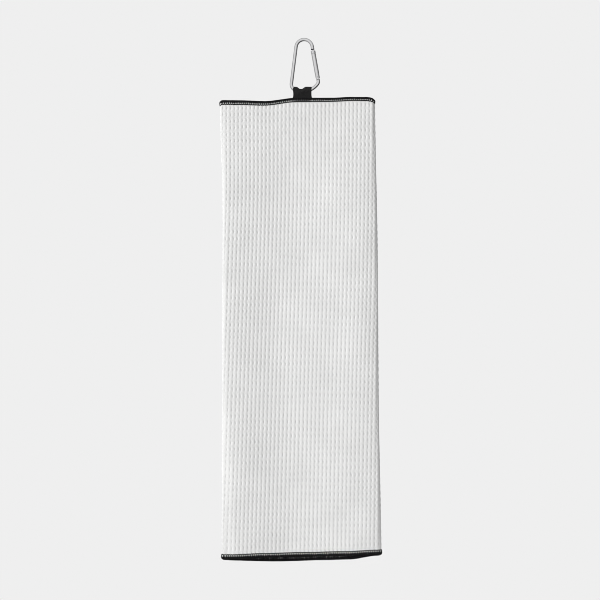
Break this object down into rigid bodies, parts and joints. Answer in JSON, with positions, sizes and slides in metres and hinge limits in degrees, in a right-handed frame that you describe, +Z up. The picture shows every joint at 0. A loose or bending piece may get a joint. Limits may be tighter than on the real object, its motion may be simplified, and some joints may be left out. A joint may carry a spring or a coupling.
{
  "type": "golf towel",
  "caption": "Waffle-weave golf towel folded in three, with black overlocked edges, a woven tape loop and a small snap hook for hanging on a bag.",
  "frame": {"origin": "crown of the snap hook's inner edge, where the ring of a bag bears; the towel hangs from it", "axes": "+Z up, +X to the right as seen from the front, the front panel faces -Y"},
  "size_m": [0.1757, 0.0097, 0.5755],
  "materials": {
    "waffle_cloth": "white waffle-weave microfibre, matt",
    "edge_thread": "black polyester sewing thread, slight sheen",
    "loop_tape": "black woven tape, matt",
    "hook_metal": "polished",
    "pin_steel": "bright drawn steel"
  },
  "bodies": {
    "carabiner": {"carabiner_body": "hook_metal", "gate_hinge_pin": "pin_steel"},
    "gate": {"carabiner_gate": "hook_metal", "gate_latch_pin": "pin_steel", "gate_spring": "pin_steel"},
    "plunger": {"gate_plunger": "pin_steel"},
    "towel": {"towel_cloth": "waffle_cloth", "top_edge_overlock": "edge_thread", "bottom_edge_overlock": "edge_thread", "left_edge_overlock": "edge_thread", "right_edge_overlock": "edge_thread", "top_needle_thread": "edge_thread", "bottom_needle_thread": "edge_thread", "left_needle_thread": "edge_thread", "right_needle_thread": "edge_thread", "hanging_loop": "loop_tape", "loop_bartack": "edge_thread"}
  },
  "joints": [
    {"name": "gate_hinge", "type": "hinge", "parent": "carabiner", "child": "gate", "pos_m": [0.01484, 0, -0.03941], "axis": [0, -1, 0], "range_deg": [0, 25], "stiffness_Nm_per_rad": 0.05, "springref_deg": -20.05},
    {"name": "plunger_slide", "type": "slide", "parent": "gate", "child": "plunger", "axis": [-0.1736, 0, 0.9848], "range_m": [0, 0.00085], "deforming": ["gate_spring"]},
    {"name": "towel_swing", "type": "hinge", "parent": "carabiner", "child": "towel", "pos_m": [-0.002, 0, -0.0555], "axis": [1, 0, 0], "range_deg": [-90, 90], "deforming": ["hanging_loop"]}
  ],
  "couplings": [
    {"joint": "plunger_slide", "follows": "gate_hinge", "m_per_rad": 0.0019}
  ]
}
